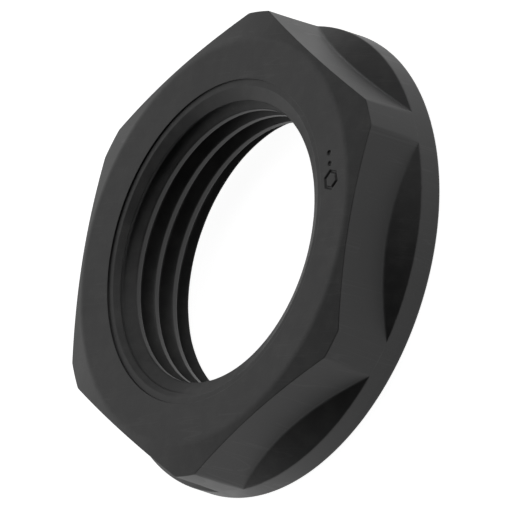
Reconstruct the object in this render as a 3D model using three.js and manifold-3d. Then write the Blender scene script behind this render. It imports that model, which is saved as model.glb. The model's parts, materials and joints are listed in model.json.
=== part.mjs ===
// Hexagonal locknut with a round flange, moulded in one piece from black polyamide.
// It holds a cable gland, or another M20 x 1.5 fitting, in the wall of an enclosure: the flat rear
// face of the flange seats on the wall, and a 28 mm spanner turns the hexagon.
// Millimetres, +Z up. The origin is the centre of the seating face, and +Z is the thread axis.

import * as THREE from "three";
import { mergeVertices } from "three/addons/utils/BufferGeometryUtils.js";
import Module from "manifold-3d";

const RIGHT_ANGLE = Math.PI / 2;
const degrees = THREE.MathUtils.degToRad;

// Outer shape
const HEIGHT = 6.1;
const FLANGE_RADIUS = 15.5;
const RIM_THICKNESS = 1.55;
const RIM_EDGE = 0.12;
const ACROSS_FLATS = 28;
const FLAT_DRAFT = degrees(1.4);
const RUN_OUT_SLOPE = degrees(40);
const RUN_OUT_INNER_RADIUS = 13.4;
const FACE_RADIUS = 13.45;
const CHAMFER_SLOPE = degrees(17.6);

// Internal thread, right-handed, metric fine M20 x 1.5 with the 60 degree profile
const MAJOR_RADIUS = 10;
const PITCH = 1.5;
const FLANK_ANGLE = degrees(30);
const TRIANGLE_HEIGHT = PITCH * Math.cos(FLANK_ANGLE);
const MINOR_RADIUS = MAJOR_RADIUS - 5 / 8 * TRIANGLE_HEIGHT;
const ROOT_FLAT = PITCH / 8;
const GROOVE_AZIMUTH = degrees(69.5);
const GROOVE_HEIGHT = 0.92;

// Mouths of the bore: a fine ring step and a countersink in front, a plain countersink at the rear
const RING_RADIUS = 10.8;
const RING_DEPTH = 0.12;
const LEDGE_RADIUS = 10.37;
const FRONT_MOUTH_SLOPE = degrees(29.5);
const REAR_MOUTH_SLOPE = degrees(30);
const REAR_MOUTH_RADIUS = 10.28;

// Engraved mark on the front face: a small hexagon outline beside two round dots
const MARK_RADIUS = 11.83;
const MARK_AZIMUTH = degrees(-70.5);
const MARK_DEPTH = 0.11;
const MARK_HEXAGON_RADIUS = 0.7;
const MARK_LINE_WIDTH = 0.17;
const MARK_DOT_RADIUS = 0.16;
const MARK_DOT_SPACING = 0.78;

// Facets and overshoot of the cutting bodies
const TURN_SEGMENTS = 96;
const THREAD_SEGMENTS = 72;
const MARK_SEGMENTS = 12;
const OVERSHOOT = 1;
const INNER_OVERSHOOT = 0.15;
const MERGE_TOLERANCE = 1e-5;

const wasm = await Module();
wasm.setup();

/** Turns a closed three.js geometry into a solid that can be joined and cut. */
function solidFrom(geometry) {
  geometry.deleteAttribute("normal");
  geometry.deleteAttribute("uv");
  const merged = mergeVertices(geometry, MERGE_TOLERANCE);
  const corners = Array.from(merged.index.array);
  const triangles = [];
  for (let i = 0; i < corners.length; i += 3) {
    const triangle = corners.slice(i, i + 3);
    if (new Set(triangle).size === 3) {
      triangles.push(...triangle);
    }
  }
  const mesh = new wasm.Mesh({
    numProp: 3,
    vertProperties: merged.attributes.position.array,
    triVerts: Uint32Array.from(triangles),
  });
  return new wasm.Manifold(mesh);
}

/** Turns a solid back into a three.js geometry. */
function geometryFrom(solid) {
  const mesh = solid.getMesh();
  const geometry = new THREE.BufferGeometry();
  geometry.setAttribute("position", new THREE.BufferAttribute(mesh.vertProperties, 3));
  geometry.setIndex(new THREE.BufferAttribute(mesh.triVerts, 1));
  geometry.computeVertexNormals();
  return geometry;
}

/** Revolves [radius, height] points, which start and end on the axis, about +Z. */
function turned(profile) {
  const points = profile.map(([radius, height]) => new THREE.Vector2(radius, height));
  const geometry = new THREE.LatheGeometry(points, TURN_SEGMENTS);
  return solidFrom(geometry.rotateX(RIGHT_ANGLE));
}

/** The round blank: cylindrical rim, and the cone that chamfers the hexagon's corners. */
function roundBlank() {
  const coneFoot = HEIGHT - (FLANGE_RADIUS - FACE_RADIUS) * Math.tan(CHAMFER_SLOPE);
  return turned([
    [0, 0],
    [FLANGE_RADIUS - RIM_EDGE, 0],
    [FLANGE_RADIUS, RIM_EDGE],
    [FLANGE_RADIUS, coneFoot],
    [FACE_RADIUS, HEIGHT],
    [0, HEIGHT],
  ]);
}

/** The hexagon, drafted towards the front, with one flat square to -Y. */
function hexagonPrism() {
  const cornerRadius = (height) => {
    const apothem = ACROSS_FLATS / 2 - (height - RIM_THICKNESS) * Math.tan(FLAT_DRAFT);
    return apothem / Math.cos(Math.PI / 6);
  };
  const top = HEIGHT + OVERSHOOT;
  const bottom = RIM_THICKNESS - OVERSHOOT;
  const geometry = new THREE.CylinderGeometry(
    cornerRadius(top), cornerRadius(bottom), top - bottom, 6, 1, false, Math.PI / 6,
  );
  geometry.rotateX(RIGHT_ANGLE);
  geometry.translate(0, 0, (top + bottom) / 2);
  return solidFrom(geometry);
}

/** The flange, whose conical top rises towards the hexagon and leaves a lens beside each flat. */
function flangeDisc() {
  const rise = (FLANGE_RADIUS - RUN_OUT_INNER_RADIUS) * Math.tan(RUN_OUT_SLOPE);
  return turned([
    [0, 0],
    [FLANGE_RADIUS + OVERSHOOT, 0],
    [FLANGE_RADIUS + OVERSHOOT, RIM_THICKNESS - OVERSHOOT * Math.tan(RUN_OUT_SLOPE)],
    [RUN_OUT_INNER_RADIUS, RIM_THICKNESS + rise],
    [0, RIM_THICKNESS + rise],
  ]);
}

/** The smooth bore with its front and rear mouths. */
function boreCutter() {
  const frontFall = Math.tan(FRONT_MOUTH_SLOPE);
  const rearRise = Math.tan(REAR_MOUTH_SLOPE);
  const ledge = HEIGHT - RING_DEPTH;
  return turned([
    [0, -OVERSHOOT],
    [REAR_MOUTH_RADIUS + OVERSHOOT / rearRise, -OVERSHOOT],
    [MINOR_RADIUS, (REAR_MOUTH_RADIUS - MINOR_RADIUS) * rearRise],
    [MINOR_RADIUS, ledge - (LEDGE_RADIUS - MINOR_RADIUS) * frontFall],
    [LEDGE_RADIUS, ledge],
    [RING_RADIUS, ledge],
    [RING_RADIUS, HEIGHT + OVERSHOOT],
    [0, HEIGHT + OVERSHOOT],
  ]);
}

/** The helical groove of the thread, a trapezoid section swept past both faces of the nut. */
function threadCutter() {
  const innerRadius = MINOR_RADIUS - INNER_OVERSHOOT;
  const rootHalf = ROOT_FLAT / 2;
  const mouthHalf = rootHalf + (MAJOR_RADIUS - innerRadius) * Math.tan(FLANK_ANGLE);
  const section = [
    [innerRadius, -mouthHalf],
    [MAJOR_RADIUS, -rootHalf],
    [MAJOR_RADIUS, rootHalf],
    [innerRadius, mouthHalf],
  ];
  const firstTurn = -Math.ceil((GROOVE_HEIGHT + OVERSHOOT) / PITCH);
  const lastTurn = Math.ceil((HEIGHT + OVERSHOOT - GROOVE_HEIGHT) / PITCH);
  const steps = (lastTurn - firstTurn) * THREAD_SEGMENTS;

  const positions = [];
  for (let step = 0; step <= steps; step += 1) {
    const turns = firstTurn + step / THREAD_SEGMENTS;
    const azimuth = GROOVE_AZIMUTH + turns * 2 * Math.PI;
    for (const [radius, offset] of section) {
      positions.push(radius * Math.cos(azimuth));
      positions.push(radius * Math.sin(azimuth));
      positions.push(GROOVE_HEIGHT + turns * PITCH + offset);
    }
  }

  const corners = section.length;
  const last = steps * corners;
  const indices = [0, 1, 2, 0, 2, 3, last, last + 2, last + 1, last, last + 3, last + 2];
  for (let step = 0; step < steps; step += 1) {
    for (let corner = 0; corner < corners; corner += 1) {
      const here = step * corners + corner;
      const beside = step * corners + (corner + 1) % corners;
      indices.push(here, here + corners, beside + corners);
      indices.push(here, beside + corners, beside);
    }
  }

  const geometry = new THREE.BufferGeometry();
  geometry.setAttribute("position", new THREE.Float32BufferAttribute(positions, 3));
  geometry.setIndex(indices);
  return solidFrom(geometry);
}

/** A regular outline about a point, wound anticlockwise. */
function regularOutline(path, sides, radius, centre) {
  for (let side = 0; side < sides; side += 1) {
    const angle = side * 2 * Math.PI / sides;
    const x = centre + radius * Math.cos(angle);
    const y = radius * Math.sin(angle);
    if (side === 0) {
      path.moveTo(x, y);
    } else {
      path.lineTo(x, y);
    }
  }
  path.closePath();
  return path;
}

/** Extrudes an outline of the mark and stands it at its place on the front face. */
function engraved(shape) {
  const geometry = new THREE.ExtrudeGeometry(shape, {
    depth: MARK_DEPTH + OVERSHOOT,
    bevelEnabled: false,
  });
  geometry.rotateZ(RIGHT_ANGLE);
  geometry.translate(MARK_RADIUS, 0, HEIGHT - MARK_DEPTH);
  geometry.rotateZ(MARK_AZIMUTH);
  return solidFrom(geometry);
}

/** The engraved mark: a hexagon outline, then two dots along the same line. */
function markCutter() {
  const hexagonCentre = -MARK_DOT_SPACING;
  const hexagon = regularOutline(new THREE.Shape(), 6, MARK_HEXAGON_RADIUS, hexagonCentre);
  const island = MARK_HEXAGON_RADIUS - MARK_LINE_WIDTH;
  hexagon.holes.push(regularOutline(new THREE.Path(), 6, island, hexagonCentre));
  let mark = engraved(hexagon);
  for (const place of [0.5, 1.5]) {
    const centre = place * MARK_DOT_SPACING;
    const dot = regularOutline(new THREE.Shape(), MARK_SEGMENTS, MARK_DOT_RADIUS, centre);
    mark = mark.add(engraved(dot));
  }
  return mark;
}

/** The whole nut: hexagon and flange inside the round blank, less the bore, thread and mark. */
function locknutSolid() {
  const outside = hexagonPrism().add(flangeDisc()).intersect(roundBlank());
  const threaded = outside.subtract(boreCutter()).subtract(threadCutter());
  return threaded.subtract(markCutter());
}

const blackPolyamide = new THREE.MeshStandardMaterial({
  color: 0x2b2b2c,
  roughness: 0.55,
  metalness: 0,
});

const locknut = new THREE.Mesh(geometryFrom(locknutSolid()), blackPolyamide);
locknut.name = "locknut";

const part = new THREE.Group();
part.add(locknut);

export default part;
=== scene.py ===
"""Looks of a moulded locknut: a hexagon on a round flange, threaded inside, in black polyamide.

Lengths in the classes are millimetres and angles are degrees unless a name says otherwise. Meshes
and the scene are in metres, in the CAD frame: +Z is the thread axis, and the seating face is z = 0.
"""

import json
import logging
import math
from dataclasses import dataclass, field
from enum import Enum

import bpy
import numpy as np
from mathutils import Matrix, Vector

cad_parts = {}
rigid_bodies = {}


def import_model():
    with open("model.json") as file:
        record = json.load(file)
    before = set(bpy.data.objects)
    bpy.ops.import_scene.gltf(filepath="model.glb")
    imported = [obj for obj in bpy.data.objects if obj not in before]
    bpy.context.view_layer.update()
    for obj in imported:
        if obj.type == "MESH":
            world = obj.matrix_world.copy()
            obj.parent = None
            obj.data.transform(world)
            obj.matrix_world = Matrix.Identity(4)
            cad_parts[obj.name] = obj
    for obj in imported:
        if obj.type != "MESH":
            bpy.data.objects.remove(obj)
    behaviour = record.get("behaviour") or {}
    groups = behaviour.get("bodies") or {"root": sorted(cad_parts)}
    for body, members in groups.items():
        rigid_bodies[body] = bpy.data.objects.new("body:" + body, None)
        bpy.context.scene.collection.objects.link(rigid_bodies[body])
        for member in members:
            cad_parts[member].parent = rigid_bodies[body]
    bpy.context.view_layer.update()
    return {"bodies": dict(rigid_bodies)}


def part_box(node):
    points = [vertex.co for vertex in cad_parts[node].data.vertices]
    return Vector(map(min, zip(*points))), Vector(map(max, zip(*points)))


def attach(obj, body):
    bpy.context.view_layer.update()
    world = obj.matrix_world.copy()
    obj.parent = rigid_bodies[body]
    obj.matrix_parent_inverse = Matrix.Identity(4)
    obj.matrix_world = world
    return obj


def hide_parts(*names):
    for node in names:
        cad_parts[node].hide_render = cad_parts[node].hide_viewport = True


LOG = logging.getLogger("locknut")
MM = 0.001
NODE = "locknut"
SECTOR = 60.0  # from one corner of the hexagon to the next

Colour = tuple[float, float, float, float]
Source = bpy.types.NodeSocket | float | Colour | tuple[float, float, float]
WHITE: Colour = (1.0, 1.0, 1.0, 1.0)


# ---------------------------------------------------------------- curves and masks


def smooth_step(values: np.ndarray, low: float, high: float) -> np.ndarray:
    """Eases values from 0 at low to 1 at high.

    Args:
        values: The numbers to ease.
        low: Where the result leaves 0.
        high: Where the result reaches 1.

    Returns:
        The eased numbers, in the shape of values.
    """
    share = np.clip((values - low) / (high - low), 0.0, 1.0)
    return share * share * (3.0 - 2.0 * share)


def smooth_min(first: np.ndarray, second: np.ndarray, width: float) -> np.ndarray:
    """The smaller of two fields, rounded where they cross.

    Args:
        first: One field.
        second: The other field.
        width: How far apart the fields are where the rounding starts.

    Returns:
        The rounded minimum.
    """
    share = np.clip(0.5 + 0.5 * (second - first) / width, 0.0, 1.0)
    return second + (first - second) * share - width * share * (1.0 - share)


def smooth_max(first: np.ndarray, second: np.ndarray, width: float) -> np.ndarray:
    """The larger of two fields, rounded where they cross, with the arguments of smooth_min."""
    return -smooth_min(-first, -second, width)


class Spacing(Enum):
    """How the rows between two corners of the profile are spread."""

    EVEN = "even"
    EASED = "eased"

    def shares(self, count: int) -> list[float]:
        """Places of the rows between 0 and 1.

        Args:
            count: How many rows lie between the two ends.

        Returns:
            The shares, from the first end to the second.
        """
        even = np.linspace(0.0, 1.0, count + 2)[1:-1]
        if self is Spacing.EVEN:
            return even.tolist()
        once = smooth_step(even, 0.0, 1.0)
        return smooth_step(once, 0.0, 1.0).tolist()


@dataclass
class Corner:
    """One corner of the turned profile, and the stretch that follows it.

    Attributes:
        radius: Distance from the axis at each column.
        height: Height above the seating face at each column.
        ease: How far the rounding runs along both sides.
        steps: Rows in the rounding, beyond its two ends.
        wear: Share of the edge wear that this corner takes, 0 in a hollow.
        rows: Rows on the stretch to the next corner.
        spacing: How those rows are spread.
    """

    radius: np.ndarray
    height: np.ndarray
    ease: float
    steps: int = 2
    wear: float = 0.0
    rows: int = 2
    spacing: Spacing = Spacing.EASED

    def point(self) -> np.ndarray:
        """The corner at each column, as an array of radius and height."""
        return np.stack([self.radius, self.height], axis=-1)


def rounded_profile(corners: list[Corner]) -> tuple[np.ndarray, np.ndarray]:
    """Runs round a closed list of corners and rounds each one.

    Args:
        corners: The corners in order, with the last joined to the first.

    Returns:
        Points as (row, column, radius and height), and the wear of each row.
    """
    share_limit = 0.45
    points = [corner.point() for corner in corners]
    starts, ends = [], []
    for index, corner in enumerate(corners):
        here = points[index]
        sides = []
        for neighbour in (points[index - 1], points[(index + 1) % len(points)]):
            side = neighbour - here
            length = np.linalg.norm(side, axis=-1, keepdims=True)
            sides.append(here + side / length * np.minimum(corner.ease, share_limit * length))
        starts.append(sides[0])
        ends.append(sides[1])
    rows, wear = [], []
    for index, corner in enumerate(corners):
        for share in np.linspace(0.0, 1.0, corner.steps + 2):
            blend = (1 - share) ** 2 * starts[index] + share**2 * ends[index]
            rows.append(blend + 2 * share * (1 - share) * points[index])
            wear.append(corner.wear * 4 * share * (1 - share))
        after = starts[(index + 1) % len(corners)]
        for share in corner.spacing.shares(corner.rows):
            rows.append(ends[index] + (after - ends[index]) * share)
            wear.append(0.0)
    return np.stack(rows), np.array(wear)


# ---------------------------------------------------------------- features of the nut


@dataclass(frozen=True)
class MetricThread:
    """A right-handed internal thread with the 60 degree metric profile.

    Attributes:
        major_radius: Radius of the groove's floor.
        pitch: Advance of the groove in one turn.
        flank_angle: Lean of each flank from square to the axis.
        groove_azimuth: Azimuth where the groove's middle is at the groove height.
        groove_height: That height above the seating face.
        rounding: Width over which the thread's edges are rounded.
    """

    major_radius: float = 10.0
    pitch: float = 1.5
    flank_angle: float = 30.0
    groove_azimuth: float = 69.5
    groove_height: float = 0.92
    rounding: float = 0.07

    @property
    def minor_radius(self) -> float:
        """Radius of the crests, five eighths of the thread's triangle inside the major radius."""
        triangle = self.pitch * math.cos(math.radians(self.flank_angle))
        return self.major_radius - triangle * 5 / 8

    def groove_radius(self, azimuth: np.ndarray, height: np.ndarray) -> np.ndarray:
        """Distance from the axis to the wall of the helical groove.

        Args:
            azimuth: Azimuths in degrees.
            height: Heights above the seating face.

        Returns:
            The radius, which falls inside the crests between two grooves.
        """
        turns = (height - self.groove_height) / self.pitch
        turns = turns - (azimuth - self.groove_azimuth) / 360.0
        offset = np.abs(turns - np.round(turns)) * self.pitch
        slope = math.tan(math.radians(self.flank_angle))
        half_floor = self.pitch / 16
        flank = self.major_radius + (half_floor - offset) / slope
        return smooth_min(flank, np.full_like(flank, self.major_radius), self.rounding)


@dataclass(frozen=True)
class EngravedMark:
    """A plain engraved mark on the front face: a hexagon outline beside two round dots.

    Attributes:
        radius: Distance from the axis to the mark's middle.
        azimuth: Azimuth of the mark's middle.
        depth: Depth of the engraving.
        hexagon_radius: Distance from the outline's middle to its corners.
        line_width: Width of the outline.
        dot_radius: Radius of each dot.
        dot_spacing: Distance between the dots, and from the hexagon to the mark's middle.
        wall: Width over which the engraving falls to its depth.
    """

    radius: float = 11.83
    azimuth: float = -70.5
    depth: float = 0.11
    hexagon_radius: float = 0.7
    line_width: float = 0.17
    dot_radius: float = 0.16
    dot_spacing: float = 0.78
    wall: float = 0.08

    def depth_at(self, x: np.ndarray, y: np.ndarray) -> np.ndarray:
        """Depth of the engraving below the front face.

        Args:
            x: Places along the CAD frame's X.
            y: Places along its Y.

        Returns:
            The depth at each place, 0 outside the mark.
        """
        turn = math.radians(self.azimuth)
        along = y * math.cos(turn) - x * math.sin(turn)
        out = x * math.cos(turn) + y * math.sin(turn) - self.radius
        apothem = (self.hexagon_radius - self.line_width / 2) * math.cos(math.pi / 6)
        from_hexagon = np.full_like(along, -self.hexagon_radius)
        for side in range(3):
            normal = math.radians((side + 0.5) * SECTOR)
            across = (along + self.dot_spacing) * math.cos(normal) + out * math.sin(normal)
            from_hexagon = np.maximum(from_hexagon, np.abs(across) - apothem)
        distance = np.abs(from_hexagon) - self.line_width / 2
        for place in (0.5, 1.5):
            to_dot = np.hypot(along - place * self.dot_spacing, out) - self.dot_radius
            distance = np.minimum(distance, to_dot)
        return self.depth * smooth_step(-distance, -self.wall / 2, self.wall / 2)


@dataclass(frozen=True)
class EjectorMarks:
    """Shallow round witness marks that the mould's ejector pins leave in the seating face.

    Attributes:
        count: How many pins there are, evenly round the axis.
        circle_radius: Distance from the axis to each pin's middle.
        pin_radius: Radius of a pin.
        depth: Depth of a mark.
        first_azimuth: Azimuth of the first pin.
        wall: Width over which a mark falls to its depth.
    """

    count: int = 4
    circle_radius: float = 12.8
    pin_radius: float = 0.9
    depth: float = 0.04
    first_azimuth: float = 40.0
    wall: float = 0.3

    def depth_at(self, x: np.ndarray, y: np.ndarray) -> np.ndarray:
        """Depth of the marks in the seating face.

        Args:
            x: Places along the CAD frame's X.
            y: Places along its Y.

        Returns:
            The depth at each place, 0 between the marks.
        """
        depth = np.zeros_like(x)
        for pin in range(self.count):
            turn = math.radians(self.first_azimuth + pin * 360.0 / self.count)
            centre = (self.circle_radius * math.cos(turn), self.circle_radius * math.sin(turn))
            distance = np.hypot(x - centre[0], y - centre[1]) - self.pin_radius
            depth += self.depth * smooth_step(-distance, 0.0, self.wall)
        return depth


# ---------------------------------------------------------------- node graphs


class Graph:
    """A node tree with short calls that add nodes and join them."""

    def __init__(self, tree: bpy.types.NodeTree) -> None:
        """Keeps the tree."""
        self.tree = tree

    def add(self, kind: str, inputs: dict[str | int, Source], **settings: object) -> bpy.types.Node:
        """Adds one node.

        Args:
            kind: Blender's name of the node type.
            inputs: Sockets by name or number, each with the socket or value that feeds it.
            **settings: Properties of the node.

        Returns:
            The new node.
        """
        node = self.tree.nodes.new(kind)
        for name, value in settings.items():
            setattr(node, name, value)
        for name, source in inputs.items():
            self.feed(node.inputs[name], source)
        return node

    def feed(self, socket: bpy.types.NodeSocket, source: Source) -> None:
        """Joins a source to an input socket, or sets the socket to a constant.

        Args:
            socket: The input socket.
            source: The socket or value that feeds it.
        """
        if isinstance(source, bpy.types.NodeSocket):
            self.tree.links.new(source, socket)
        else:
            socket.default_value = source

    def math(self, operation: str, first: Source, second: Source = 0.0) -> bpy.types.NodeSocket:
        """Adds a Math node and returns its output."""
        node = self.add("ShaderNodeMath", {0: first, 1: second}, operation=operation)
        return node.outputs[0]

    def ramp(self, value: Source, low: float, high: float) -> bpy.types.NodeSocket:
        """Eases a value from 0 to 1.

        Args:
            value: The value to ease.
            low: Where the result leaves 0.
            high: Where the result reaches 1.

        Returns:
            The eased value.
        """
        inputs = {"Value": value, "From Min": low, "From Max": high}
        node = self.add("ShaderNodeMapRange", inputs, interpolation_type="SMOOTHSTEP")
        return node.outputs["Result"]

    def mix(self, share: Source, first: Source, second: Source) -> bpy.types.NodeSocket:
        """Mixes two colours.

        Args:
            share: How much of the second colour shows, from 0 to 1.
            first: The first colour.
            second: The second colour.

        Returns:
            The mixed colour.
        """
        node = self.tree.nodes.new("ShaderNodeMix")
        node.data_type = "RGBA"
        sockets = {socket.identifier: socket for socket in node.inputs}
        inputs = {"Factor_Float": share, "A_Color": first, "B_Color": second}
        for name, source in inputs.items():
            self.feed(sockets[name], source)
        return next(socket for socket in node.outputs if socket.identifier == "Result_Color")

    def noise(
        self, place: Source, scale: Source, detail: float, seed: float
    ) -> bpy.types.NodeSocket:
        """Adds a noise in which each seed gives its own pattern.

        Args:
            place: Where the noise is read.
            scale: How many waves one unit of place holds.
            detail: How many finer layers lie on the waves.
            seed: The noise's fourth coordinate.

        Returns:
            The noise's value, from 0 to 1.
        """
        inputs = {"Vector": place, "W": seed, "Scale": scale, "Detail": detail}
        node = self.add("ShaderNodeTexNoise", inputs, noise_dimensions="4D")
        return node.outputs[0]

    def bump(self, height: Source, depth: float) -> bpy.types.NodeSocket:
        """Turns a height into a normal.

        Args:
            height: The height, as a share of the depth.
            depth: The depth in millimetres.

        Returns:
            The bumped normal.
        """
        inputs = {"Height": height, "Strength": 1.0, "Distance": depth * MM}
        return self.add("ShaderNodeBump", inputs).outputs["Normal"]

    def millimetres(self) -> bpy.types.NodeSocket:
        """Adds the nodes that give the place on the object.

        Returns:
            The place in millimetres.
        """
        here = self.tree.nodes.new("ShaderNodeTexCoord").outputs["Object"]
        scaled = self.add("ShaderNodeVectorMath", {0: here, 3: 1 / MM}, operation="SCALE")
        return scaled.outputs["Vector"]


class Effect:
    """A shader node group with named inputs and outputs, built once and shared by finishes."""

    name = "Effect"
    inputs: dict[str, float] = {}
    outputs: tuple[str, ...] = ()

    def group(self) -> bpy.types.NodeTree:
        """The effect's node group, made at the first call.

        Returns:
            The group, the same one each time.
        """
        found = bpy.data.node_groups.get(self.name)
        if found:
            return found
        tree = bpy.data.node_groups.new(self.name, "ShaderNodeTree")
        for name, value in self.inputs.items():
            socket = tree.interface.new_socket(name, in_out="INPUT", socket_type="NodeSocketFloat")
            socket.default_value = value
        for name in self.outputs:
            tree.interface.new_socket(name, in_out="OUTPUT", socket_type="NodeSocketFloat")
        graph = Graph(tree)
        given = tree.nodes.new("NodeGroupInput").outputs
        made = self.wire(graph, given)
        graph.add("NodeGroupOutput", dict(zip(self.outputs, made)))
        return tree

    def wire(self, graph: Graph, given: bpy.types.NodeOutputs) -> list[bpy.types.NodeSocket]:
        """Fills the group with nodes and returns a socket for each output."""
        raise NotImplementedError

    def place(self, graph: Graph, **values: float) -> bpy.types.NodeOutputs:
        """Puts the effect into a material.

        Args:
            graph: The material's graph.
            **values: Inputs by name, with underscores for spaces.

        Returns:
            The outputs of the group node.
        """
        node = graph.tree.nodes.new("ShaderNodeGroup")
        node.node_tree = self.group()
        for name, value in values.items():
            node.inputs[name.replace("_", " ").title()].default_value = value
        return node.outputs


class MouldedGrain(Effect):
    """The fine matt grain that a spark-eroded mould leaves on plastic.

    Attributes:
        pit_share: Height of the round pits beside that of the noise.
    """

    name = "Moulded Grain"
    inputs = {"Grain Size": 0.16, "Patch Size": 4.0}
    outputs = ("Height", "Patch")
    pit_share = 0.6

    def wire(self, graph: Graph, given: bpy.types.NodeOutputs) -> list[bpy.types.NodeSocket]:
        """Fills the group.

        Args:
            graph: The group's graph.
            given: The group's inputs.

        Returns:
            The grain's height as a share of its depth, and slow patches from 0 to 1.
        """
        here = graph.millimetres()
        grain_scale = graph.math("DIVIDE", 1.0, given["Grain Size"])
        patch_scale = graph.math("DIVIDE", 1.0, given["Patch Size"])
        coarse = graph.noise(here, grain_scale, detail=2.0, seed=1.3)
        inputs = {"Vector": here, "Scale": grain_scale}
        pits = graph.add("ShaderNodeTexVoronoi", inputs, feature="SMOOTH_F1")
        pit_height = graph.math("MULTIPLY", pits.outputs["Distance"], self.pit_share)
        height = graph.math("ADD", coarse, pit_height)
        patch = graph.noise(here, patch_scale, detail=3.0, seed=4.1)
        return [height, patch]


class FineScratches(Effect):
    """Hair-thin scratches square to X, in two layers, gathered in patches.

    Attributes:
        turns: Rotation of each layer's noise in radians, by the noise's seed.
        stretch: Scale of the noise along X, Y and Z, small where the scratches run.
        half_width: Half a scratch's width, as a share of the noise's range.
        patch_scale: How many patches one millimetre holds.
    """

    name = "Fine Scratches"
    inputs = {"Spacing": 0.9, "Share": 0.5}
    outputs = ("Scratch",)
    turns = {2.0: (0.3, 0.5, 0.7), 7.0: (1.2, -0.4, 2.1)}
    stretch = (1.0, 0.04, 0.04)
    half_width = 0.008
    patch_scale = 0.35

    def wire(self, graph: Graph, given: bpy.types.NodeOutputs) -> list[bpy.types.NodeSocket]:
        """Fills the group.

        Args:
            graph: The group's graph.
            given: The group's inputs.

        Returns:
            One socket, 1 in a scratch and 0 beside it.
        """
        here = graph.millimetres()
        scale = graph.math("DIVIDE", 1.0, given["Spacing"])
        total: Source = 0.0
        for seed, turn in self.turns.items():
            inputs = {"Vector": here, "Rotation": turn, "Scale": self.stretch}
            stretched = graph.add("ShaderNodeMapping", inputs).outputs[0]
            wave = graph.noise(stretched, scale, detail=1.0, seed=seed)
            line = graph.math("ABSOLUTE", graph.math("SUBTRACT", wave, 0.5))
            beside = graph.ramp(line, low=0.0, high=self.half_width)
            thin = graph.math("SUBTRACT", 1.0, beside)
            total = graph.math("MAXIMUM", total, thin)
        patches = graph.noise(here, self.patch_scale, detail=2.0, seed=11.0)
        threshold = graph.math("SUBTRACT", 1.0, given["Share"])
        chosen = graph.math("GREATER_THAN", patches, threshold)
        return [graph.math("MULTIPLY", total, chosen)]


class EdgeWear(Effect):
    """Wear on the convex edges that the mesh marks, broken up by noise."""

    name = "Edge Wear"
    inputs = {"Amount": 0.6, "Breakup Size": 0.5}
    outputs = ("Worn",)

    def wire(self, graph: Graph, given: bpy.types.NodeOutputs) -> list[bpy.types.NodeSocket]:
        """Fills the group.

        Args:
            graph: The group's graph.
            given: The group's inputs.

        Returns:
            One socket, 1 where the edge is worn smooth.
        """
        edge = graph.add("ShaderNodeAttribute", {}, attribute_name=LocknutMoulding.edge_layer)
        scale = graph.math("DIVIDE", 1.0, given["Breakup Size"])
        breakup = graph.noise(graph.millimetres(), scale, detail=3.0, seed=5.7)
        broken = graph.ramp(breakup, low=0.35, high=0.65)
        worn = graph.math("MULTIPLY", edge.outputs["Fac"], broken)
        return [graph.math("MULTIPLY", worn, given["Amount"])]


class SettledDust(Effect):
    """A thin film of pale dust, thicker on faces that look up.

    Attributes:
        speck_scale: How many specks one millimetre holds.
    """

    name = "Settled Dust"
    inputs = {"Amount": 0.1, "Clump Size": 1.2}
    outputs = ("Dust",)
    speck_scale = 7.0

    def wire(self, graph: Graph, given: bpy.types.NodeOutputs) -> list[bpy.types.NodeSocket]:
        """Fills the group.

        Args:
            graph: The group's graph.
            given: The group's inputs.

        Returns:
            One socket, the dust's cover from 0 to 1.
        """
        normal = graph.tree.nodes.new("ShaderNodeNewGeometry").outputs["Normal"]
        up = graph.add("ShaderNodeSeparateXYZ", {0: normal}).outputs["Z"]
        here = graph.millimetres()
        clump_scale = graph.math("DIVIDE", 1.0, given["Clump Size"])
        clumps = graph.ramp(graph.noise(here, clump_scale, detail=4.0, seed=8.2), low=0.35, high=0.75)
        specks = graph.noise(here, self.speck_scale, detail=2.0, seed=3.3)
        specks = graph.ramp(specks, low=0.62, high=0.7)
        film = graph.math("MULTIPLY", graph.ramp(up, low=-0.2, high=1.0), clumps)
        cover = graph.math("ADD", film, graph.math("MULTIPLY", specks, film))
        return [graph.math("MULTIPLY", cover, given["Amount"])]


# ---------------------------------------------------------------- finishes


def empty_material(name: str) -> bpy.types.Material:
    """Makes a material whose node tree is still empty.

    Args:
        name: The material's name.

    Returns:
        The new material.
    """
    made = bpy.data.materials.new(name)
    made.use_nodes = True
    made.node_tree.nodes.clear()
    return made


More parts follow.
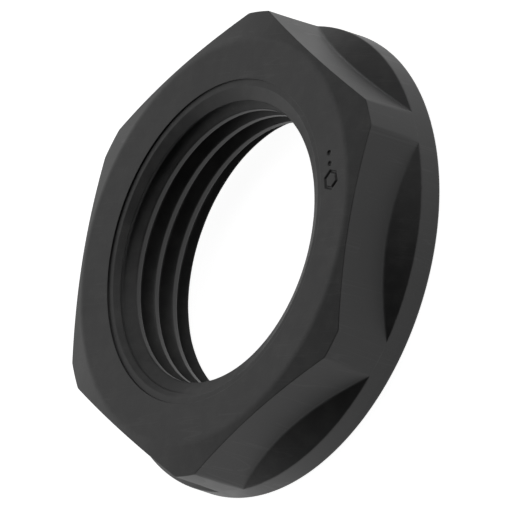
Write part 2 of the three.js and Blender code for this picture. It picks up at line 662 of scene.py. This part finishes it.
@dataclass(frozen=True)
class PolyamideFinish:
    """Black polyamide as it leaves the mould.

    Attributes:
        name: The material's name.
        colour: The plastic's colour; the thread's finish sets a paler one, which is painted light.
        worn_colour: The colour of a rubbed edge or scratch.
        dust_colour: The colour of settled dust.
        patch_share: Share of the worn colour in the palest patches.
        roughness: Roughness between patches and wear.
        patch_swing: Change of roughness from one patch to another.
        worn_polish: Fall of the roughness where it is rubbed.
        dust_roughness: Rise of the roughness under full dust.
        grain_size: Width of one grain of the mould texture.
        grain_depth: Depth of that texture.
        scratch_depth: Depth of a scratch, as a share of the grain's.
        scratch_rub: How rubbed a scratch looks.
        wear: How much of the edges is rubbed.
        dust: How much dust lies on it.
        ior: Index of refraction.
        specular: Strength of the reflection, 0.5 being the plain one.
    """

    name: str
    colour: Colour = (0.01, 0.0101, 0.0103, 1.0)
    worn_colour: Colour = (0.035, 0.035, 0.0355, 1.0)
    dust_colour: Colour = (0.42, 0.41, 0.39, 1.0)
    patch_share: float = 0.12
    roughness: float = 0.5
    patch_swing: float = 0.12
    worn_polish: float = 0.12
    dust_roughness: float = 0.4
    grain_size: float = 0.16
    grain_depth: float = 0.004
    scratch_depth: float = 0.4
    scratch_rub: float = 0.25
    wear: float = 0.5
    dust: float = 0.03
    ior: float = 1.53
    specular: float = 0.4

    def material(self) -> bpy.types.Material:
        """Builds the finish as a procedural material.

        Returns:
            The new material.
        """
        made = empty_material(self.name)
        graph = Graph(made.node_tree)
        grain = MouldedGrain().place(graph, grain_size=self.grain_size)
        scratch = FineScratches().place(graph)["Scratch"]
        worn = EdgeWear().place(graph, amount=self.wear)["Worn"]
        dust = SettledDust().place(graph, amount=self.dust)["Dust"]

        rubbed = graph.math("MAXIMUM", worn, graph.math("MULTIPLY", scratch, self.scratch_rub))
        patch = graph.ramp(grain["Patch"], low=0.3, high=0.7)
        patchy = graph.math("MULTIPLY", patch, self.patch_share)
        body = graph.mix(patchy, self.colour, self.worn_colour)
        colour = graph.mix(dust, graph.mix(rubbed, body, self.worn_colour), self.dust_colour)

        swing = graph.math("SUBTRACT", grain["Patch"], 0.5)
        rough = graph.math("ADD", graph.math("MULTIPLY", swing, self.patch_swing), self.roughness)
        rough = graph.math("SUBTRACT", rough, graph.math("MULTIPLY", rubbed, self.worn_polish))
        rough = graph.math("ADD", rough, graph.math("MULTIPLY", dust, self.dust_roughness))

        cut = graph.math("MULTIPLY", scratch, self.scratch_depth)
        height = graph.math("SUBTRACT", grain["Height"], cut)
        inputs = {
            "Base Color": colour,
            "Roughness": rough,
            "Normal": graph.bump(height, self.grain_depth),
            "IOR": self.ior,
            "Specular IOR Level": self.specular,
        }
        shader = graph.add("ShaderNodeBsdfPrincipled", inputs)
        graph.add("ShaderNodeOutputMaterial", {"Surface": shader.outputs["BSDF"]})
        return made


@dataclass(frozen=True)
class LightTableFinish:
    """The matt opal sheet of a light table, evenly lit from below.

    Attributes:
        name: The material's name.
        colour: The sheet's own colour.
        shade_colour: Its colour in the darker patches.
        glow: Strength of the light that comes through it.
        roughness: Roughness of the sheet.
        specular: Strength of the reflection, 0.5 being the plain one.
        patch_size: Width of the patches.
        grain_size: Width of one grain.
        grain_depth: Depth of the grain.
    """

    name: str = "opal_sheet"
    colour: Colour = (0.45, 0.45, 0.45, 1.0)
    shade_colour: Colour = (0.43, 0.43, 0.43, 1.0)
    glow: float = 0.95
    roughness: float = 0.9
    specular: float = 0.1
    patch_size: float = 60.0
    grain_size: float = 0.5
    grain_depth: float = 0.004

    def material(self) -> bpy.types.Material:
        """Builds the opal sheet as a procedural material.

        Returns:
            The new material.
        """
        made = empty_material(self.name)
        graph = Graph(made.node_tree)
        grain = MouldedGrain().place(graph, grain_size=self.grain_size, patch_size=self.patch_size)
        inputs = {
            "Base Color": graph.mix(grain["Patch"], self.colour, self.shade_colour),
            "Normal": graph.bump(grain["Height"], self.grain_depth),
            "Roughness": self.roughness,
            "Specular IOR Level": self.specular,
            "Emission Color": WHITE,
            "Emission Strength": self.glow,
        }
        shader = graph.add("ShaderNodeBsdfPrincipled", inputs)
        graph.add("ShaderNodeOutputMaterial", {"Surface": shader.outputs["BSDF"]})
        return made


# ---------------------------------------------------------------- the nut


@dataclass
class LocknutMoulding:
    """The whole nut, one moulding: flange, hexagon, front face, threaded bore and seating face.

    Attributes:
        height: Height over all.
        flange_radius: Radius of the flange.
        rim_thickness: Height of the flange's upright rim.
        across_flats: Distance across the flats at the top of the rim.
        flat_draft: Lean of each flat towards the axis.
        run_out_slope: Rise of the flange's conical top from the rim to the flats.
        face_radius: Radius where the front face meets the chamfer of the hexagon's corners.
        chamfer_slope: Fall of that chamfer.
        ring_radius: Radius of the fine step round the front mouth.
        ring_depth: Depth of the step.
        ledge_radius: Radius where the step's floor meets the front countersink.
        front_mouth_slope: Slope of the front countersink.
        rear_mouth_slope: Slope of the rear countersink.
        rear_mouth_radius: Radius of the rear countersink in the seating face.
        corner_blend: Width over which the hexagon's wall runs into the flange's cylinder.
        thread: The internal thread.
        mark: The mark on the front face.
        ejectors: The marks in the seating face.
        edge_layer: Name of the mesh attribute that holds the edge wear.
    """

    height: float
    flange_radius: float
    rim_thickness: float = 1.55
    across_flats: float = 28.0
    flat_draft: float = 1.4
    run_out_slope: float = 40.0
    face_radius: float = 13.45
    chamfer_slope: float = 17.6
    ring_radius: float = 10.8
    ring_depth: float = 0.12
    ledge_radius: float = 10.37
    front_mouth_slope: float = 29.5
    rear_mouth_slope: float = 30.0
    rear_mouth_radius: float = 10.28
    corner_blend: float = 0.04
    thread: MetricThread = field(default_factory=MetricThread)
    mark: EngravedMark = field(default_factory=EngravedMark)
    ejectors: EjectorMarks = field(default_factory=EjectorMarks)
    edge_layer = "edge"

    @classmethod
    def from_frame(cls, node: str) -> "LocknutMoulding":
        """Takes the outer sizes from the CAD node's box.

        Args:
            node: The CAD node's name.

        Returns:
            The nut, as tall and as wide as the node.
        """
        low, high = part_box(node)
        return cls(height=high.z / MM, flange_radius=(high.x - low.x) / 2 / MM)

    def columns(self) -> np.ndarray:
        """Azimuths of the mesh's columns, closer together at the hexagon's edges and the mark.

        Returns:
            The azimuths in degrees, rising, from 0 to just under 360.
        """
        step, edge_step, mark_step = 0.9, 0.15, 0.2
        edge_from, edge_to = 25.0, 26.8
        mark_reach = 8.5
        least_gap = 0.04
        places = [np.arange(0.0, 360.0, step)]
        edge = np.arange(edge_from, edge_to + edge_step / 2, edge_step)
        for sector in range(6):
            for side in (-1, 1):
                places.append((sector + 0.5) * SECTOR + side * edge)
        near_mark = np.arange(-mark_reach, mark_reach + mark_step / 2, mark_step)
        places.append(self.mark.azimuth + near_mark)
        azimuths = np.sort(np.round(np.concatenate(places) % 360.0, 3))
        gaps = np.diff(azimuths, append=azimuths[0] + 360.0)
        return azimuths[gaps > least_gap]

    def wall_radius(self, azimuth: np.ndarray, height: np.ndarray) -> np.ndarray:
        """Distance from the axis to the hexagon's wall, which the flange's cylinder cuts off.

        Args:
            azimuth: Azimuths in degrees.
            height: Heights above the seating face.

        Returns:
            The radius at each azimuth and height.
        """
        from_flat = np.radians(azimuth % SECTOR - SECTOR / 2)
        draft = math.tan(math.radians(self.flat_draft))
        apothem = self.across_flats / 2 - (height - self.rim_thickness) * draft
        limit = np.full_like(from_flat, self.flange_radius)
        return smooth_min(apothem / np.cos(from_flat), limit, self.corner_blend)

    def meeting(
        self, azimuth: np.ndarray, start: float, radius: float, slope: float
    ) -> tuple[np.ndarray, np.ndarray]:
        """Where a cone about the axis meets the hexagon's wall.

        Args:
            azimuth: Azimuths in degrees.
            start: Height of the cone at the given radius.
            radius: That radius.
            slope: Fall of the cone towards the outside, in degrees.

        Returns:
            Radius and height of the meeting line at each azimuth.
        """
        fall = math.tan(math.radians(slope))
        passes = 5
        height = np.full_like(azimuth, start)
        for _ in range(passes):
            wall = self.wall_radius(azimuth, height)
            height = start - (wall - radius) * fall
        return wall, height

    def corners(self, azimuth: np.ndarray) -> list[Corner]:
        """The profile's corners, from the rear mouth outwards and back down the bore.

        Args:
            azimuth: Azimuths of the columns in degrees.

        Returns:
            The corners in order.
        """
        thread = self.thread
        least_gap = 0.02
        foot_radius, foot_height = self.meeting(
            azimuth, self.rim_thickness, self.flange_radius, self.run_out_slope
        )
        foot_height = np.maximum(foot_height, self.rim_thickness + least_gap)
        top_radius, top_height = self.meeting(
            azimuth, self.height, self.face_radius, self.chamfer_slope
        )
        front_fall = math.tan(math.radians(self.front_mouth_slope))
        rear_rise = math.tan(math.radians(self.rear_mouth_slope))
        rear_depth = (self.rear_mouth_radius - thread.minor_radius) * rear_rise
        ledge = self.height - self.ring_depth
        front_foot = ledge - (self.ledge_radius - thread.minor_radius) * front_fall

        def ring(radius: float, height: float, ease: float, **options: object) -> Corner:
            """Makes a corner that is the same at each column, with the fields of Corner."""
            level = np.full_like(azimuth, height)
            return Corner(np.full_like(azimuth, radius), level, ease, **options)

        return [
            ring(self.rear_mouth_radius, 0.0, ease=0.06, wear=0.5, rows=24, spacing=Spacing.EVEN),
            ring(self.flange_radius, 0.0, ease=0.12, wear=1.0, rows=3),
            ring(self.flange_radius, self.rim_thickness, ease=0.07, wear=1.0, rows=5),
            Corner(foot_radius, foot_height, ease=0.14, steps=3, rows=7),
            Corner(top_radius, top_height, ease=0.045, wear=1.0, rows=5),
            ring(self.face_radius, self.height, ease=0.2, wear=0.3, rows=50, spacing=Spacing.EVEN),
            ring(self.ring_radius, self.height, ease=0.03, wear=0.6, rows=1),
            ring(self.ring_radius, ledge, ease=0.03, rows=1),
            ring(self.ledge_radius, ledge, ease=0.03, wear=0.3, rows=26, spacing=Spacing.EVEN),
            ring(thread.minor_radius, front_foot, ease=0.05, rows=104, spacing=Spacing.EVEN),
            ring(thread.minor_radius, rear_depth, ease=0.05, rows=13, spacing=Spacing.EVEN),
        ]

    def surface(self) -> tuple[np.ndarray, np.ndarray, np.ndarray]:
        """Places every vertex of the nut.

        Returns:
            Vertices as (row, column, xyz), the edge wear of each, and whether each row is bore.
        """
        crest_width = 0.06
        face_band = 0.02
        azimuth = self.columns()
        profile, row_wear = rounded_profile(self.corners(azimuth))
        radius, height = profile[..., 0], profile[..., 1]
        wear = np.repeat(row_wear[:, None], len(azimuth), axis=1)

        bore = (radius < self.ledge_radius).all(axis=1)
        groove = self.thread.groove_radius(np.broadcast_to(azimuth, radius.shape), height)
        threaded = smooth_max(radius, groove, self.thread.rounding)
        crest_edge = np.exp(-(((groove - radius) / crest_width) ** 2))
        radius = np.where(bore[:, None], threaded, radius)
        wear = np.where(bore[:, None], np.maximum(wear, crest_edge), wear)

        turn = np.radians(azimuth)
        x, y = radius * np.cos(turn), radius * np.sin(turn)
        on_face = smooth_step(height, self.height - face_band, self.height)
        on_seat = 1.0 - smooth_step(height, 0.0, face_band)
        height = height - on_face * self.mark.depth_at(x, y)
        height = height + on_seat * self.ejectors.depth_at(x, y)
        return np.stack([x, y, height], axis=-1), wear, bore

    def build(self) -> bpy.types.Object:
        """Builds the nut's mesh as one closed skin of quads.

        Returns:
            The new object, in the scene.
        """
        vertices, wear, bore = self.surface()
        rows, columns = wear.shape
        row = np.arange(rows)[:, None]
        column = np.arange(columns)[None, :]
        next_row, next_column = (row + 1) % rows, (column + 1) % columns
        quads = np.stack([
            row * columns + column,
            row * columns + next_column,
            next_row * columns + next_column,
            next_row * columns + column,
        ], axis=-1)
        mesh = bpy.data.meshes.new("locknut_moulding")
        mesh.from_pydata((vertices.reshape(-1, 3) * MM).tolist(), [], quads.reshape(-1, 4).tolist())
        layer = mesh.attributes.new(self.edge_layer, "FLOAT", "POINT")
        layer.data.foreach_set("value", wear.astype(np.float32).ravel())
        # the bore's faces take the second finish, whose paler colour is painted light against the
        # grooves' shade
        in_bore = (bore & np.roll(bore, -1)).astype(np.int32)
        mesh.polygons.foreach_set("material_index", np.repeat(in_bore, columns))
        mesh.polygons.foreach_set("use_smooth", np.ones(rows * columns, bool))
        mesh.validate()
        mesh.update()
        piece = bpy.data.objects.new("locknut_moulding", mesh)
        bpy.context.scene.collection.objects.link(piece)
        return piece

    def dress(self, piece: bpy.types.Object) -> None:
        """Gives the outside its moulded grain, and the thread the smoother finish of its core in a
        paler colour, which is painted light that lifts the shade in the grooves.

        Args:
            piece: The nut's object.
        """
        outside = PolyamideFinish(name="polyamide_grained")
        thread = PolyamideFinish(
            name="polyamide_thread_painted_light",
            # the thread's colour is paler than the outside's: painted light that lifts the shade in
            # the grooves
            colour=(0.026, 0.0261, 0.0264, 1.0),
            roughness=0.48,
            grain_size=0.1,
            grain_depth=0.0015,
            dust=0.05,
        )
        for finish in (outside, thread):
            piece.data.materials.append(finish.material())


# ---------------------------------------------------------------- the studio


def direction(azimuth: float, elevation: float) -> Vector:
    """The unit vector that points to an azimuth from +X and an elevation above the horizon.

    Args:
        azimuth: The azimuth in degrees.
        elevation: The elevation in degrees.

    Returns:
        The vector.
    """
    turn, rise = math.radians(azimuth), math.radians(elevation)
    level = math.cos(rise)
    return Vector((level * math.cos(turn), level * math.sin(turn), math.sin(rise)))


@dataclass(frozen=True)
class PaleFloor:
    """The light table that the nut lies on.

    Attributes:
        half_width: Distance from the middle to each side.
        drop: Gap between the sheet and the seating face.
    """

    half_width: float = 1500.0
    drop: float = 0.02

    def build(self) -> bpy.types.Object:
        """Builds the floor just under the seating face.

        Returns:
            The floor's object.
        """
        half = self.half_width * MM
        level = -self.drop * MM
        mesh = bpy.data.meshes.new("studio_floor")
        signs = ((-1, -1), (1, -1), (1, 1), (-1, 1))
        corners = [(along * half, across * half, level) for along, across in signs]
        mesh.from_pydata(corners, [], [(0, 1, 2, 3)])
        mesh.materials.append(LightTableFinish().material())
        floor = bpy.data.objects.new("studio_floor", mesh)
        bpy.context.scene.collection.objects.link(floor)
        return floor


@dataclass(frozen=True)
class StudioCamera:
    """A camera without perspective, rolled so that the thread axis leans left in the picture.

    Attributes:
        azimuth: Azimuth from which it looks at the nut.
        elevation: Elevation from which it looks.
        roll: Turn about its own line of sight.
        frame_width: Width of what it sees.
        shift_right: How far right of the origin it is centred.
        shift_up: How far above the origin it is centred, in the picture.
        distance: Distance from the origin.
        nearest: Nearest distance that it shows.
        farthest: Farthest distance that it shows.
    """

    azimuth: float = -105.34
    elevation: float = 35.61
    roll: float = -71.83
    frame_width: float = 32.92
    shift_right: float = -2.002
    shift_up: float = 0.593
    distance: float = 300.0
    nearest: float = 10.0
    farthest: float = 10000.0

    def build(self) -> bpy.types.Object:
        """Places the camera and makes it the scene's.

        Returns:
            The camera's object.
        """
        back = direction(self.azimuth, self.elevation)
        level_right = Vector((0.0, 0.0, 1.0)).cross(back).normalized()
        level_up = back.cross(level_right)
        roll = math.radians(self.roll)
        right = level_right * math.cos(roll) + level_up * math.sin(roll)
        up = level_up * math.cos(roll) - level_right * math.sin(roll)
        centre = (right * self.shift_right + up * self.shift_up) * MM
        data = bpy.data.cameras.new("studio_camera")
        data.type = "ORTHO"
        data.ortho_scale = self.frame_width * MM
        data.clip_start = self.nearest * MM
        data.clip_end = self.farthest * MM
        camera = bpy.data.objects.new("studio_camera", data)
        turned = Matrix((right, up, back)).transposed().to_4x4()
        camera.matrix_world = Matrix.Translation(centre + back * self.distance * MM) @ turned
        bpy.context.scene.collection.objects.link(camera)
        bpy.context.scene.camera = camera
        return camera


@dataclass(frozen=True)
class DarkSide:
    """A side of the tent that is left dark.

    Attributes:
        azimuth: Azimuth of its middle.
        elevation: Elevation of its middle.
        bright_until: Cosine of the angle from the middle where the darkening starts.
        dark_from: Cosine of the angle where it is full.
        depth: Share of the light that is taken away there.
    """

    azimuth: float
    elevation: float
    bright_until: float
    dark_from: float
    depth: float

    def share(self, graph: Graph, towards: bpy.types.NodeSocket) -> bpy.types.NodeSocket:
        """Adds the nodes that say how dark a direction is.

        Args:
            graph: The world's graph.
            towards: The direction that is looked at.

        Returns:
            A socket, 0 where the tent is bright, and the depth in the middle of this side.
        """
        middle = tuple(direction(self.azimuth, self.elevation))
        inputs = {0: towards, 1: middle}
        near = graph.add("ShaderNodeVectorMath", inputs, operation="DOT_PRODUCT").outputs["Value"]
        darkening = graph.ramp(near, self.bright_until, self.dark_from)
        return graph.math("MULTIPLY", darkening, self.depth)


@dataclass(frozen=True)
class StudioLight:
    """An even white tent with two darker sides, which end at the light table.

    Attributes:
        brightness: Strength of the tent's light.
        table_edge: Sine of the angle below the horizon where the dark sides have faded out.
        dark_sides: The darker sides.
    """

    brightness: float = 0.98
    table_edge: float = 0.1
    dark_sides: tuple[DarkSide, ...] = (
        DarkSide(azimuth=-135.0, elevation=32.0, bright_until=0.22, dark_from=0.5, depth=0.97),
        DarkSide(azimuth=18.0, elevation=18.0, bright_until=0.78, dark_from=0.93, depth=0.75),
    )

    def build(self) -> None:
        """Builds the tent as the scene's world."""
        world = bpy.data.worlds.new("studio_tent")
        world.use_nodes = True
        world.node_tree.nodes.clear()
        graph = Graph(world.node_tree)
        towards = world.node_tree.nodes.new("ShaderNodeTexCoord").outputs["Generated"]
        height = graph.add("ShaderNodeSeparateXYZ", {0: towards}).outputs["Z"]
        above = graph.ramp(height, -self.table_edge, 0.0)
        dark: Source = 0.0
        for side in self.dark_sides:
            dark = graph.math("MAXIMUM", dark, side.share(graph, towards))
        light = graph.math("SUBTRACT", 1.0, graph.math("MULTIPLY", dark, above))
        strength = graph.math("MULTIPLY", light, self.brightness)
        tent = graph.add("ShaderNodeBackground", {"Color": WHITE, "Strength": strength})
        graph.add("ShaderNodeOutputWorld", {"Surface": tent.outputs[0]})
        bpy.context.scene.world = world


# ---------------------------------------------------------------- the whole picture


def main() -> None:
    """Loads the frame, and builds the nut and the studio."""
    logging.basicConfig(level=logging.INFO, format="%(name)s: %(message)s")
    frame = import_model()
    bpy.context.scene.view_settings.view_transform = "Standard"

    nut = LocknutMoulding.from_frame(NODE)
    piece = nut.build()
    nut.dress(piece)
    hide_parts(NODE)
    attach(piece, next(iter(frame["bodies"])))
    LOG.info("%s stands for %s with %d faces", piece.name, NODE, len(piece.data.polygons))

    floor = PaleFloor().build()
    LOG.info("%s lies under the seating face", floor.name)
    StudioCamera().build()
    StudioLight().build()
    LOG.info("the studio has its camera and light")


if __name__ == "__main__":
    main()
